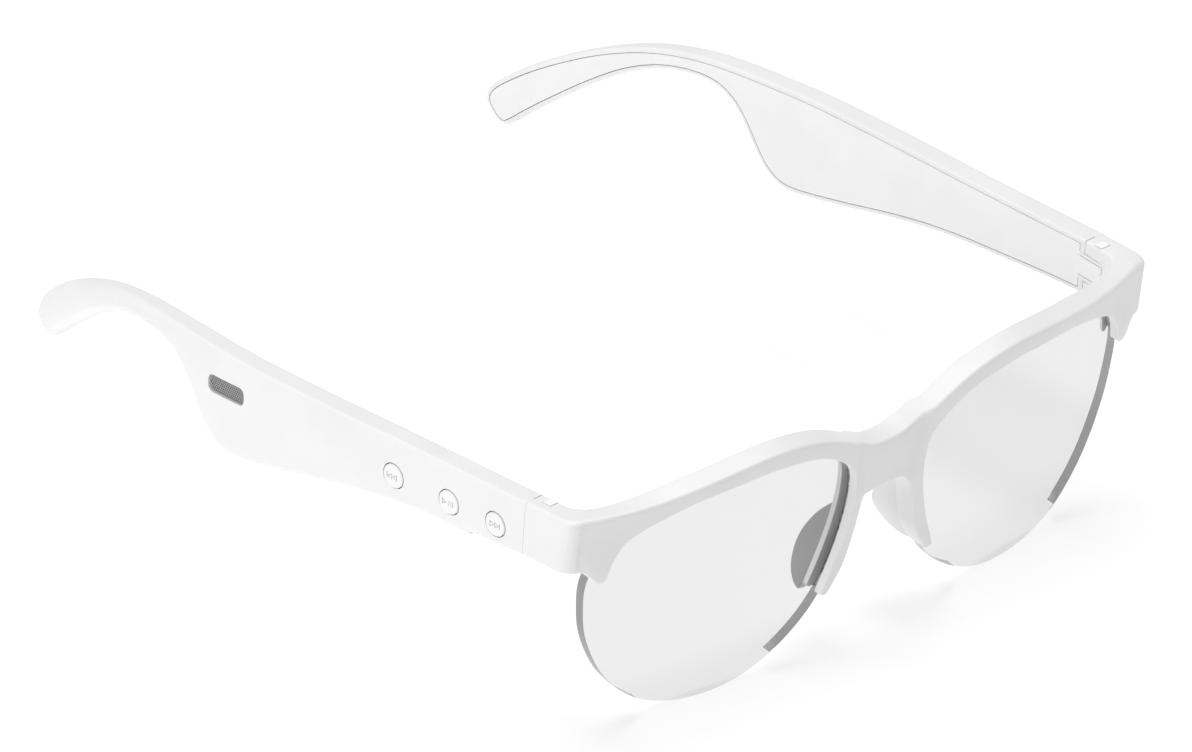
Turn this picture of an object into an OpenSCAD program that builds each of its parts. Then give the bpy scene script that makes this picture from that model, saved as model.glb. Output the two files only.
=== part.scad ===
// Audio smart glasses: half-rim front, two clear lenses, and two folding temples that hold the electronics.
// The parts are drawn for the left side (+X, as worn) and mirrored for the right.
// In the design axes y = 0 and z = 0 lie at the front lower corner of an end piece, and the temples run along +Y.
// placed() then moves everything so that the origin is under the middle of the whole object.

/* [Front] */
// Half the width of the front at its corners
front_half_w = 73.4; // [72:0.1:75]
// Angle that the lower edge of the lenses leans back towards the face
lens_tilt = 10; // [6:1:14]
// Depth of the brow bar from front to back
brow_depth = 5; // [4.5:0.1:5.6]
// Height of the end pieces and of the temples at the hinge
end_height = 11.25; // [10.8:0.05:11.6]
// How far the end pieces reach back to the temple seam
end_reach = 11.05; // [10.6:0.05:11.4]
// Thickness of the lenses
lens_t = 2; // [1.6:0.1:2.2]
// How far the lens front lies behind the brow front
lens_inset = 1.7; // [1.4:0.1:2]

/* [Temple] */
// Thickness of the moulded walls
wall = 1.1; // [0.9:0.05:1.2]
// Thickness of the inner cover
cover_t = 1; // [0.8:0.05:1.1]
// Width of the shell's rim around the inner cover
cover_margin = 0.9; // [0.8:0.05:1]
// Gap of the seam between the end piece and the temple
seam_gap = 0.2; // [0.15:0.05:0.3]

/* [Hinge] */
// Distance of the hinge axis from the middle of the object
hinge_x = 70.1; // [69.9:0.05:70.2]
// Distance of the hinge's centre behind the front corner
hinge_y = 8.1; // [8:0.05:8.2]
// Angle that the hinge pins lean forward at the top, so that one folded temple passes under the other
hinge_lean = 5; // [4:0.5:6]
// Radius of the hinge pin
pin_r = 0.75; // [0.6:0.05:0.8]
// Running clearance between the pin and its bush
pin_clearance = 0.05; // [0.03:0.01:0.08]
// Outer radius of the hinge bush
bush_r = 1.25; // [1.15:0.05:1.3]
// Radius of the knuckle at the end of the temple's tongue
knuckle_r = 2.1; // [2:0.05:2.2]

/* [Controls and sound] */
// Radius of a button cap
button_r = 2.45; // [2.3:0.05:2.6]
// Gap around a button cap
button_gap = 0.2; // [0.15:0.01:0.25]
// How far a button cap stands out of the temple
button_proud = 0.3; // [0.1:0.05:0.4]
// Travel of a button
button_travel = 0.3; // [0.2:0.05:0.35]
// Length of the speaker grille
grille_l = 10; // [8:0.5:11]
// Height of the speaker grille
grille_h = 3.6; // [3.4:0.1:4]

/* [Hidden] */
$fn = 48;

// Where the origin lies in the design axes: under the middle of the object, at its lowest point
origin_y = 71.8;
origin_z = -38.45;

end_bottom = -0.6;
end_top = end_bottom + end_height;
corner_r = 2.2;
far = 200;
eps = 0.02;

// Smooth curve through hand-set points: the Catmull-Rom formula, with a few steps between neighbours
function blend4(a, b, c, d, t) =
    0.5 * (2 * b + (c - a) * t + (2 * a - 5 * b + 4 * c - d) * t * t + (3 * b - a - 3 * c + d) * t * t * t);
function curve(p, steps = 4) = concat(
    [for (i = [0:len(p) - 2]) for (j = [0:steps - 1])
        blend4(p[max(i - 1, 0)], p[i], p[i + 1], p[min(i + 2, len(p) - 1)], j / steps)],
    [p[len(p) - 1]]);
function reversed(p) = [for (i = [len(p) - 1:-1:0]) p[i]];
function shifted(p, dx) = [for (q = p) [q.x + dx, q.y]];
function mirrored(p) = [for (q = reversed(p)) [-q.x, q.y]];

// Plan view of the brow: x, and the depth of its front face in the leaning plane of the lenses
face_middle = 14;
face_bow = 0.003;
face_lead = -9.9;
function face_depth(x) = face_lead + face_bow * pow(x - face_middle, 2);
bridge_face = [[0, -8.7], [4.5, -8.8], [6.2, -9.15], [7.7, -9.7], [9.4, -9.84]];
corner_x = front_half_w - corner_r;
brow_face = concat(curve(bridge_face, 3), [for (i = [0:10]) let (x = 12 + (corner_x - 12) * i / 10) [x, face_depth(x)]]);
brow_back = [for (p = brow_face) [p.x, p.y + brow_depth]];
brow_corner = [for (a = [-75:15:0])
    [corner_x + corner_r * cos(a), face_depth(corner_x) + corner_r + corner_r * sin(a)]];

// Front view of the half front, in the leaning plane: the top, the lug at the temple side, the lens opening,
// the rim down to its tip beside the nose, and the bridge
brow_top = curve([[0, 5.4], [4, 5.9], [7, 7.4], [10, 9.1], [15, 11.7], [20, 13.5], [26, 14.5], [32, 14.6], [39, 13.8],
    [48, 12.4], [56, 11.3], [62, 11], [front_half_w, 11]]);
lug = curve([[69.6, -0.9], [68.6, -2.3], [66.6, -4.1], [65.1, -3.4], [64.2, 0.2], [61.6, 4], [55.3, 7]], 3);
brow_under = curve([[55.3, 7], [47.3, 9.2], [38.6, 10.3], [29.6, 10.8], [20.3, 9.7], [13.9, 6.6], [9.8, 2.4],
    [9, -2.4], [9.3, -7], [10.4, -12.5], [12.3, -18.5], [14.2, -23]]);
rim_tip = [[13.9, -23.9], [13, -24.2], [12.2, -23.8]];
rim_nose = curve([[12.2, -23.8], [9.3, -19], [8.1, -15], [7.2, -11], [6.6, -7.8], [5.6, -5.9], [4, -5.3], [0, -5.2]], 3);
// Front view of what is taken off the top, so that the brow runs level into the end pieces
brow_level = [[56, 12.1], [66, 10.9], [74, 10.65], [74, 20], [56, 20]];
half_front = concat(brow_top, [[front_half_w, -0.9]], lug, brow_under, rim_tip, rim_nose);

// Front view of a lens: the exposed lower edge, and the upper edge that sits inside the brow
lens_edge = curve([[65.4, -1.2], [67, -4], [67.3, -9], [65.7, -18], [61, -27.4], [54, -34.1], [46.5, -37.1],
    [38, -37.9], [30.3, -36.8], [23.4, -33.9], [17, -29.3], [12.6, -24.1], [9.6, -18], [7.8, -11], [7.2, -4],
    [8.6, 2.4], [12.4, 7.4], [19, 11], [29.6, 12.2], [39, 11.7], [48, 10.5], [56.5, 8.3], [62.2, 4.9], [65.4, -1.2]]);

// Nose pad: the middles of the balls that it is stretched over, and its stem
pad_points = [[6.9, -2.4, -7], [8.2, 1.6, -13.5], [12, 3.2, -20.2], [13.9, 0.2, -24.2], [9.6, -1.8, -17]];
pad_r = 1;
pad_stem_r = 0.7;
pad_stem_at = [9.1, -13];
pad_stem_out = 1.3;
pad_stem_in = 1.1;
stem_room = 0.02;
lens_room = 0.03;

// Side view of a temple: y, z
temple_front = end_reach - 0.8;
slot_w = 0.6;
cover_front = 1.2;
temple_top = curve([[temple_front, end_top], [30, end_top], [50, end_top], [70, end_top], [88, end_top],
    [101, 10.6], [112, 10.1], [122, 8.4], [131, 5.4], [139, 1.6], [146, -2.6], [151.6, -6.6], [155, -10.4],
    [155.5, -13.2], [153.6, -15.3], [150.6, -15.2]]);
temple_under = curve([[150.6, -15.2], [146, -12.2], [140, -7.6], [133, -2.4], [126, 2], [119, 4.8], [112, 5.9],
    [106.5, 5.4], [102.5, 2.9], [99.5, -1.2], [97, -5.4], [94.2, -8.6], [90.5, -10.2], [85, -10], [75, -8.2],
    [64, -5.8], [54, -3.9], [44, -2.6], [33, -1.8], [22, -1.1], [temple_front, end_bottom]]);
temple_side = concat(temple_top, temple_under);

// Plan view of a temple: x, y of its outer and inner faces
temple_outer = curve([[73.5, temple_front], [74, 27], [74.4, 43], [74.9, 56], [75.2, 70], [75.1, 84], [74, 96],
    [72.4, 108], [70, 120], [66, 133], [61, 146], [57.4, 156]]);
temple_inner = curve([[68.9, temple_front], [69.1, 27], [69.3, 43], [69.6, 56], [69.8, 70], [69.7, 84], [68.8, 96],
    [67.4, 108], [65.1, 120], [61.1, 133], [56, 146], [52.4, 156]]);
outer_table = [for (p = temple_outer) [p.y, p.x]];
inner_table = [for (p = temple_inner) [p.y, p.x]];
function outer_x(y) = lookup(y, outer_table);
function inner_x(y) = lookup(y, inner_table);
near_y = 3;
wide_y = 9;
function outer_heading(y) = atan((outer_x(y + near_y) - outer_x(y - near_y)) / (2 * near_y));
function inner_heading(y) = atan((inner_x(y + wide_y) - inner_x(y - wide_y)) / (2 * wide_y));

// Hinge: the tongue of the temple turns between the two lugs of the end piece. Its sizes run from the hinge's centre
hinge_z = 4.775;
tongue_h = 5.75;
tongue_gap = 0.15;
tongue_inner = -1.3;
pocket_front = -3.2;
pocket_gap = 0.2;
pin_down = 4.9;
pin_up = 5.2;
end_front = 1.6;
end_outer = 73.5;
end_inner = hinge_x + tongue_inner;
cap_side = 2;
cap_t = 0.6;
cap_proud = 0.05;
cap_y = hinge_y - (end_top - hinge_z) * tan(hinge_lean);
seam_y = end_reach - hinge_y;

// The hollow of a temple, and where its contents lie along it
hollow_margin = cover_margin + 0.5;
hollow_front = 14.5;
hollow_back = 101;
button_y = [18.3, 30.2, 44.4];
button_z = 3.2;
board_front = 15.2;
board_l = 34;
board_h = 6.4;
board_z = 5;
board_t = 0.6;
board_lift = cover_t + 0.15;
switch_h = 1.05;
switch_side = 3;
stem_r = 0.7;
stem_gap = 0.15;
cap_depth = 1.55;
battery = [2.5, 25, 8.6];
battery_y = 64;
battery_z = 3;
speaker_y = 88.4;
speaker_z = 2.6;
speaker_r = 5.4;
cone_r = 4.7;
magnet_r = 3.2;
speaker_lift = cover_t + 0.15;
magnet_h = 1.1;
basket_h = 1.1;
grille_t = 0.5;
grille_lean = -3.5;
grille_z = 3.8;
grille_ledge = 0.6;
grille_hole_r = 0.32;
grille_pitch = 1.15;
plate_y = 30;
plate_size = [2.6, 9, 0.9];
plate_face = -2;
plate_x = inner_x(plate_y) + 1.25;
contact_r = 0.7;
contact_l = 1.4;
contact_pitch = 2.5;

module placed() {
    translate([0, -origin_y, -origin_z]) children();
}

// Mirrors a left-hand part for the right side
module on_side(side) {
    placed() if (side == "right") mirror([1, 0, 0]) children(); else children();
}

// A front-view outline given thickness between two plan curves of the leaning plane
module lens_plane() {
    rotate([lens_tilt, 0, 0]) children();
}

module front_view(outline) {
    translate([0, far / 2, 0]) rotate([90, 0, 0]) linear_extrude(far) polygon(outline);
}

module side_view(outline, inset = 0) {
    rotate([90, 0, 90]) linear_extrude(far)
        if (inset > 0) offset(delta = -inset) polygon(outline);
        else polygon(outline);
}

// The plan of a layer of the temple, from the outer or inner face by a distance
module plan_layer(a, b) {
    translate([0, 0, -far / 2]) linear_extrude(far) polygon(concat(a, reversed(b)));
}

// Puts its children on the inner face of a temple at y and z: +X points out of the head, +Y back along the temple
module station(y, z) {
    translate([inner_x(y), y, z]) rotate([0, 0, -inner_heading(y)]) children();
}

// The same on the outer face
module outer_station(y, z) {
    translate([outer_x(y), y, z]) rotate([0, 0, -outer_heading(y)]) children();
}

module disc(r, h) {
    rotate([0, 90, 0]) cylinder(r = r, h = h);
}

// A flat plate with round ends, length along Y, height along Z, thickness along X
module stadium(l, h, t) {
    translate([0, -(l - h) / 2, -h / 2]) cube([t, l - h, h]);
    for (end = [-1, 1]) translate([0, end * (l - h) / 2, 0]) disc(h / 2, t);
}

// Front ------------------------------------------------------------------

module brow_and_rims() {
    half_face = concat(brow_face, brow_corner);
    half_back = concat(brow_back, [[front_half_w, face_depth(front_half_w) + brow_depth]]);
    full_face = concat(mirrored(half_face), half_face);
    full_back = concat(mirrored(half_back), half_back);
    lens_plane() intersection() {
        front_view(concat(half_front, mirrored(half_front)));
        translate([0, 0, -far / 2]) linear_extrude(far) polygon(concat(full_face, reversed(full_back)));
    }
}

module end_piece() {
    translate([0, 0, end_bottom]) linear_extrude(end_height) polygon([
        [corner_x - 1, end_front], for (a = [-75:15:0])
            [corner_x + corner_r * cos(a), end_front + 1.8 + corner_r * sin(a)],
        [end_outer, end_reach], [end_outer, end_reach + 1], [end_inner + 0.4, end_reach + 1],
        [end_inner + 0.4, end_reach - 0.4], [end_inner - 0.1, end_reach - 0.9], [67.9, 4.6], [66.6, 2.6],
        [65, end_front]
    ]);
}

// The hinge's own axes: +Z up the leaning pin, +Y back along the temple
module at_hinge() {
    translate([hinge_x, hinge_y, hinge_z]) rotate([hinge_lean, 0, 0]) children();
}

// Everything behind the seam
module behind_seam(gap) {
    at_hinge() translate([-far / 2, seam_y + gap, -far / 2]) cube(far);
}

// The room that the tongue turns in, open at the back and towards the head
module hinge_pocket() {
    h = tongue_h + 2 * tongue_gap;
    at_hinge() translate([0, 0, -h / 2]) {
        translate([knuckle_r + pocket_gap - 8, 0, 0]) cube([8, 8, h]);
        translate([-8, pocket_front, 0]) cube([8, 8, h]);
        cylinder(r = knuckle_r + pocket_gap, h = h);
    }
}

module front_frame() {
    color("white") placed() difference() {
        union() {
            brow_and_rims();
            end_piece();
            mirror([1, 0, 0]) end_piece();
        }
        lens_blank(lens_room);
        mirror([1, 0, 0]) lens_blank(lens_room);
        hinge_cuts();
        mirror([1, 0, 0]) hinge_cuts();
        pad_stem(stem_room);
        mirror([1, 0, 0]) pad_stem(stem_room);
        front_view(brow_level);
        mirror([1, 0, 0]) front_view(brow_level);
    }
}

module hinge_cuts() {
    hinge_pocket();
    behind_seam(0);
    at_hinge() translate([0, 0, -pin_down]) cylinder(r = pin_r, h = pin_down + pin_up + 0.3);
    cap_shape(far);
}

module cap_shape(h) {
    translate([hinge_x - cap_side / 2, cap_y - cap_side / 2, end_top - cap_t]) cube([cap_side, cap_side, h]);
}

module lens_blank(room = 0) {
    face = [for (x = [4:4:72]) [x, face_depth(x) + lens_inset - room]];
    back = [for (x = [4:4:72]) [x, face_depth(x) + lens_inset + lens_t + room]];
    lens_plane() intersection() {
        front_view(lens_edge);
        translate([0, 0, -far / 2]) linear_extrude(far) polygon(concat(face, reversed(back)));
    }
}

module lens(side) {
    color([0.86, 0.87, 0.88, 0.4]) on_side(side) lens_blank();
}

// The pad's stem, which pushes into a socket in the back of the rim. Its place is x and w in the leaning plane
module pad_stem(room = 0) {
    back = face_depth(pad_stem_at.x) + brow_depth;
    lens_plane() translate([pad_stem_at.x, back + pad_stem_out, pad_stem_at.y]) rotate([90, 0, 0])
        cylinder(r = pad_stem_r + room, h = pad_stem_out + pad_stem_in + room);
}

// The space behind the rims' back faces
module behind_rims() {
    lens_plane() translate([0, 0, -far / 2]) linear_extrude(far)
        polygon(concat([[0, far / 4]], brow_back, [[corner_x, far / 4]]));
}

module nose_pad(side) {
    color("white") on_side(side) {
        intersection() {
            hull() for (p = pad_points) translate(p) sphere(r = pad_r, $fn = 20);
            behind_rims();
        }
        pad_stem();
    }
}

module hinge_pin(side) {
    color("silver") on_side(side)
        at_hinge() translate([0, 0, -pin_down]) cylinder(r = pin_r, h = pin_down + pin_up);
}

module pin_cap(side) {
    color("white") on_side(side) cap_shape(cap_t + cap_proud);
}

// Temples ----------------------------------------------------------------

module temple_body() {
    intersection() {
        side_view(temple_side);
        plan_layer(temple_outer, temple_inner);
        behind_seam(seam_gap);
    }
    tongue();
}

module tongue() {
    at_hinge() translate([0, 0, -tongue_h / 2]) {
        translate([tongue_inner, 0, 0]) cube([knuckle_r - tongue_inner, 5, tongue_h]);
        cylinder(r = knuckle_r, h = tongue_h);
    }
}

// The recess that the inner cover drops into, and the deeper hollow behind it
module cover_room(inset) {
    intersection() {
        side_view(temple_side, inset);
        plan_layer(shifted(temple_inner, cover_t), shifted(temple_inner, -3));
        behind_seam(seam_gap + cover_front);
    }
}

module hollow() {
    intersection() {
        side_view(temple_side, hollow_margin);
        plan_layer(shifted(temple_outer, -wall), shifted(temple_inner, -3));
        translate([0, hollow_front, -far / 2]) cube([far, hollow_back - hollow_front, far]);
    }
}

// The slot between the temple and the upper lug, on the inner edge
module relief_slot() {
    at_hinge() translate([-4, seam_y, tongue_h / 2]) cube([4.2, slot_w + seam_gap, 10]);
}

module grille_seat() {
    outer_station(speaker_y, grille_z) rotate([grille_lean, 0, 0]) {
        translate([-grille_t, 0, 0]) stadium(grille_l + 0.04, grille_h + 0.04, 2);
        translate([-3, 0, 0]) stadium(grille_l - 2 * grille_ledge, grille_h - 2 * grille_ledge, 6);
    }
}

module plate_seat() {
    translate([plate_x - eps, plate_y - plate_size.y / 2 - eps, plate_face - 1])
        cube([plate_size.x + 2 * eps, plate_size.y + 2 * eps, plate_size.z + 1]);
    charging_pin_shapes(eps);
}

module temple_shell(side) {
    color("white") on_side(side) difference() {
        temple_body();
        cover_room(cover_margin);
        hollow();
        relief_slot();
        grille_seat();
        plate_seat();
        at_hinge() translate([0, 0, -far / 20]) cylinder(r = bush_r, h = far / 10);
        if (side == "right") for (y = button_y)
            outer_station(y, button_z) translate([-cap_depth - button_travel - 0.2, 0, 0])
                disc(button_r + button_gap, 4);
    }
}

module temple_cover(side) {
    cover_gap = 0.05;
    color("white") on_side(side) intersection() {
        side_view(temple_side, cover_margin + cover_gap);
        plan_layer(shifted(temple_inner, cover_t - 0.02), temple_inner);
        behind_seam(seam_gap + cover_front + cover_gap);
    }
}

module hinge_bush(side) {
    color("goldenrod") on_side(side) at_hinge() translate([0, 0, -tongue_h / 2]) difference() {
        cylinder(r = bush_r, h = tongue_h);
        translate([0, 0, -1]) cylinder(r = pin_r + pin_clearance, h = 20);
    }
}

// Contents of the temples --------------------------------------------------

module battery_cell(side) {
    color("silver") on_side(side) station(battery_y, battery_z)
        translate([board_lift + 0.1, -battery.y / 2, -battery.z / 2]) cube(battery);
}

module circuit_board(side) {
    middle = board_front + board_l / 2;
    color("seagreen") on_side(side) station(middle, board_z)
        translate([board_lift, -board_l / 2, -board_h / 2]) cube([board_t, board_l, board_h]);
}

module audio_module(side) {
    middle = board_front + board_l / 2;
    color("silver") on_side(side) station(middle, board_z + 0.2)
        translate([board_lift + board_t, 3.4, -2.6]) cube([0.9, 6, 5]);
}

module microphone(side) {
    middle = board_front + board_l / 2;
    color("gold") on_side(side) station(middle, board_z + 1.4)
        translate([board_lift + board_t, -8.4, -1]) cube([0.9, 2.8, 2.2]);
}

module button_switches() {
    middle = board_front + board_l / 2;
    color("dimgray") on_side("right") for (y = button_y) difference() {
        intersection() {
            outer_station(y, button_z) translate([-far, -switch_side / 2, -switch_side / 2 + 0.5])
                cube([2 * far, switch_side, switch_side]);
            station(middle, board_z) translate([board_lift + board_t, -far, -far]) cube([switch_h, 2 * far, 2 * far]);
        }
        outer_station(y, button_z) translate([-3.4, 0, 0]) disc(stem_r + stem_gap, 10);
    }
}

module speaker_magnet(side) {
    color("gray") on_side(side) station(speaker_y, speaker_z)
        translate([speaker_lift, 0, 0]) disc(magnet_r, magnet_h);
}

module speaker_frame(side) {
    color("dimgray") on_side(side) station(speaker_y, speaker_z)
        translate([speaker_lift + magnet_h, 0, 0]) difference() {
            disc(speaker_r, basket_h);
            translate([0.3, 0, 0]) disc(cone_r + 0.1, basket_h);
        }
}

module speaker_cone(side) {
    color("black") on_side(side) station(speaker_y, speaker_z)
        translate([speaker_lift + magnet_h + basket_h - 0.4, 0, 0]) disc(cone_r, 0.3);
}

module speaker_grille(side) {
    color("dimgray") on_side(side) outer_station(speaker_y, grille_z) rotate([grille_lean, 0, 0])
        translate([-grille_t, 0, 0]) difference() {
            stadium(grille_l, grille_h, grille_t - 0.1);
            for (i = [-3:3]) for (j = [-1:1])
                translate([-1, i * grille_pitch, j * grille_pitch]) disc(grille_hole_r, 3);
        }
}

module charging_pin_shapes(room = 0) {
    for (end = [-1, 1]) translate([plate_x + plate_size.x / 2, plate_y + end * contact_pitch, 0])
        translate([0, 0, plate_face + plate_size.z - room]) cylinder(r = contact_r + room, h = contact_l + 2 * room);
}

module charging_plate(side) {
    color("white") on_side(side) translate([plate_x, plate_y - plate_size.y / 2, plate_face])
        cube(plate_size);
}

module charging_pins(side) {
    color("gold") on_side(side) charging_pin_shapes();
}

// Buttons ------------------------------------------------------------------

module button_cap(y) {
    color("white") on_side("right") outer_station(y, button_z) {
        translate([-cap_depth, 0, 0]) disc(button_r, cap_depth + button_proud);
        translate([-cap_depth - 0.55, 0, 0]) disc(stem_r, 1);
    }
}

front_frame();
lens("left");  // lens_left
lens("right");  // lens_right
nose_pad("left");  // nose_pad_left
nose_pad("right");  // nose_pad_right
hinge_pin("left");  // hinge_pin_left
hinge_pin("right");  // hinge_pin_right
pin_cap("left");  // pin_cap_left
pin_cap("right");  // pin_cap_right
temple_shell("left");  // temple_shell_left
temple_cover("left");  // temple_cover_left
hinge_bush("left");  // hinge_bush_left
battery_cell("left");  // battery_left
circuit_board("left");  // circuit_board_left
audio_module("left");  // audio_module_left
speaker_frame("left");  // speaker_frame_left
speaker_magnet("left");  // speaker_magnet_left
speaker_cone("left");  // speaker_cone_left
speaker_grille("left");  // speaker_grille_left
microphone("left");  // microphone_left
charging_plate("left");  // charging_plate_left
charging_pins("left");  // charging_pins_left
temple_shell("right");  // temple_shell_right
temple_cover("right");  // temple_cover_right
hinge_bush("right");  // hinge_bush_right
battery_cell("right");  // battery_right
circuit_board("right");  // circuit_board_right
audio_module("right");  // audio_module_right
speaker_frame("right");  // speaker_frame_right
speaker_magnet("right");  // speaker_magnet_right
speaker_cone("right");  // speaker_cone_right
speaker_grille("right");  // speaker_grille_right
microphone("right");  // microphone_right
charging_plate("right");  // charging_plate_right
charging_pins("right");  // charging_pins_right
button_switches();
button_cap(button_y[2]);  // button_previous
button_cap(button_y[1]);  // button_play_pause
button_cap(button_y[0]);  // button_next
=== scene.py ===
"""Audio smart glasses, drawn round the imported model.

The left side (+X, as worn) is drawn first and mirrored. Shapes are worked out in millimetres in the
same design axes as the CAD source, and placed() turns those into the frame's metres.
"""

import math
from bisect import bisect_right

import bmesh
import bpy
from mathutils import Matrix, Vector
from mathutils.geometry import delaunay_2d_cdt


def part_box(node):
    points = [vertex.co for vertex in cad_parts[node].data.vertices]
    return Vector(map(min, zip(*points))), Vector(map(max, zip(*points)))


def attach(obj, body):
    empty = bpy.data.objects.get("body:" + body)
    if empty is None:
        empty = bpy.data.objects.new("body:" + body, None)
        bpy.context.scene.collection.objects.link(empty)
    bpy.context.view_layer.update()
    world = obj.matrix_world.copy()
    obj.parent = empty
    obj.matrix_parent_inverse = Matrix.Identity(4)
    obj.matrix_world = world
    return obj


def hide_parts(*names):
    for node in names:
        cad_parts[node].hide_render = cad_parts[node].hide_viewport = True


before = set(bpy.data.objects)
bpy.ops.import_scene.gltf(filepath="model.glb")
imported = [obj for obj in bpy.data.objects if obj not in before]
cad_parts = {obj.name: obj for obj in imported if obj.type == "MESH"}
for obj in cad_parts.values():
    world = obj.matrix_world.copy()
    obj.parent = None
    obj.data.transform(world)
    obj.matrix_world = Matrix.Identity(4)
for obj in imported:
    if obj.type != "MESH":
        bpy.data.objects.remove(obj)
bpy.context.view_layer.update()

MM = 0.001
ORIGIN_Y = 71.8
ORIGIN_Z = -38.45
TILT = math.radians(10)
LEAN = math.radians(5)
HINGE = Vector((70.1, 8.1, 4.775))
END_TOP = 10.65


def placed(p):
    return Vector((p[0], p[1] - ORIGIN_Y, p[2] - ORIGIN_Z)) * MM


# Curves ---------------------------------------------------------------------


def blend4(a, b, c, d, t):
    return 0.5 * (2 * b + (c - a) * t + (2 * a - 5 * b + 4 * c - d) * t * t + (3 * b - a - 3 * c + d) * t**3)


def curve(points, steps=6, before=None, after=None):
    """Smooth line through the points. before and after only set its direction at the ends."""
    p = [Vector(q) for q in points]
    ends = [Vector(before) if before else p[0]] + p + [Vector(after) if after else p[-1]]
    line = []
    for i in range(1, len(ends) - 2):
        a, b, c, d = ends[i - 1 : i + 3]
        line += [blend4(a, b, c, d, k / steps) for k in range(steps)]
    return line + [p[-1]]


def resample(line, step):
    """The same line with even spacing."""
    lengths = [0.0]
    for a, b in zip(line, line[1:]):
        lengths.append(lengths[-1] + (b - a).length)
    count = max(1, round(lengths[-1] / step))
    out, i = [], 0
    for k in range(count + 1):
        want = lengths[-1] * k / count
        while i < len(line) - 2 and lengths[i + 1] < want:
            i += 1
        span = lengths[i + 1] - lengths[i]
        out.append(line[i].lerp(line[i + 1], (want - lengths[i]) / span if span else 0))
    return out


def table(pairs):
    """A smooth function through (x, y) pairs, level beyond both ends."""
    xs = [p[0] for p in pairs]
    ys = [p[1] for p in pairs]

    def at(x):
        if x <= xs[0]:
            return ys[0]
        if x >= xs[-1]:
            return ys[-1]
        i = bisect_right(xs, x) - 1
        slopes = []
        for k in (i, i + 1):
            lo, hi = max(k - 1, 0), min(k + 1, len(xs) - 1)
            slopes.append((ys[hi] - ys[lo]) / (xs[hi] - xs[lo]))
        h = xs[i + 1] - xs[i]
        t = (x - xs[i]) / h
        return (
            ys[i] * (2 * t**3 - 3 * t**2 + 1)
            + ys[i + 1] * (3 * t**2 - 2 * t**3)
            + slopes[0] * h * (t**3 - 2 * t**2 + t)
            + slopes[1] * h * (t**3 - t**2)
        )

    return at


def ramp(a, b, x):
    """0 below a, 1 above b, smooth between."""
    t = min(max((x - a) / (b - a), 0), 1)
    return t * t * (3 - 2 * t)


# Solid shapes ---------------------------------------------------------------


def inset(points, dist):
    """The closed outline moved inward by a distance for each point, with any folds taken out."""
    n = len(points)
    out = []
    for i in range(n):
        a, b, c = points[i - 1], points[i], points[(i + 1) % n]
        n0 = Vector((a.y - b.y, b.x - a.x)).normalized()
        n1 = Vector((b.y - c.y, c.x - b.x)).normalized()
        m = (n0 + n1).normalized()
        out.append(b + m * (dist[i] / max(m.dot(n0), 0.5)))
    for _ in range(400):
        folded = False
        for i in range(n):
            j = (i + 1) % n
            if (out[j] - out[i]).dot(points[j] - points[i]) < -1e-9:
                out[i] = out[j] = (out[i] + out[j]) / 2
                folded = True
        if not folded:
            break
    return out


def clockwise(points):
    """Whether a closed outline runs clockwise."""
    area = sum(a.x * b.y - b.x * a.y for a, b in zip(points[-1:] + points, points))
    return area < 0


def smoothed(values, width):
    n = len(values)
    return [sum(values[(i + k) % n] for k in range(-width, width + 1)) / (2 * width + 1) for i in range(n)]


def turn_out(bm):
    """Turns every face of a closed shape outwards."""
    bmesh.ops.recalc_face_normals(bm, faces=bm.faces[:])
    if bm.calc_volume(signed=True) < 0:
        bmesh.ops.reverse_faces(bm, faces=bm.faces[:])


def slab(outline, thick, wrap, u_cuts, w_cuts=(), arc=4):
    """A plate with rounded edges. outline is a closed list of (u, w, front radius, back radius), thick its
    depth; it is sliced along u_cuts and w_cuts so that wrap(u, depth, w) can bend it."""
    pts = [Vector(p[:2]) for p in outline]
    if clockwise(pts):
        outline = outline[::-1]
        pts = pts[::-1]
    rf = smoothed([p[2] for p in outline], 4)
    rb = smoothed([p[3] for p in outline], 4)
    bm = bmesh.new()
    rings = []
    for k in range(arc, -1, -1):
        a = math.pi / 2 * k / arc
        ring = inset(pts, [r * (1 - math.cos(a)) for r in rf])
        rings.append([bm.verts.new((p.x, r * (1 - math.sin(a)), p.y)) for p, r in zip(ring, rf)])
    for k in range(arc + 1):
        a = math.pi / 2 * k / arc
        ring = inset(pts, [r * (1 - math.cos(a)) for r in rb])
        rings.append([bm.verts.new((p.x, thick - r * (1 - math.sin(a)), p.y)) for p, r in zip(ring, rb)])
    n = len(pts)
    for a, b in zip(rings, rings[1:]):
        for i in range(n):
            j = (i + 1) % n
            bm.faces.new((a[i], a[j], b[j], b[i]))
    for ring in (rings[0], rings[-1]):
        flat = [Vector((v.co.x, v.co.z)) for v in ring]
        found = delaunay_2d_cdt(flat, [], [list(range(n))], 1, 1e-5)
        for triangle in found[2]:
            sources = [found[3][i] for i in triangle]
            if not all(sources):
                continue
            corners = list(dict.fromkeys(ring[k[0]] for k in sources))
            if len(corners) == 3:
                bm.faces.new(corners)
    bmesh.ops.remove_doubles(bm, verts=bm.verts[:], dist=1e-4)
    bmesh.ops.dissolve_degenerate(bm, edges=bm.edges[:], dist=1e-4)
    for axis, cuts in ((0, u_cuts), (2, w_cuts)):
        for c in cuts:
            co, no = Vector(), Vector()
            co[axis], no[axis] = c, 1
            geom = bm.verts[:] + bm.edges[:] + bm.faces[:]
            bmesh.ops.bisect_plane(bm, geom=geom, dist=1e-4, plane_co=co, plane_no=no)
    for v in bm.verts:
        v.co = wrap(v.co.x, v.co.y, v.co.z)
    turn_out(bm)
    return bm


def spread(lo, hi, step):
    count = math.ceil((hi - lo) / step)
    return [lo + (hi - lo) * k / count for k in range(count + 1)]


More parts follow.
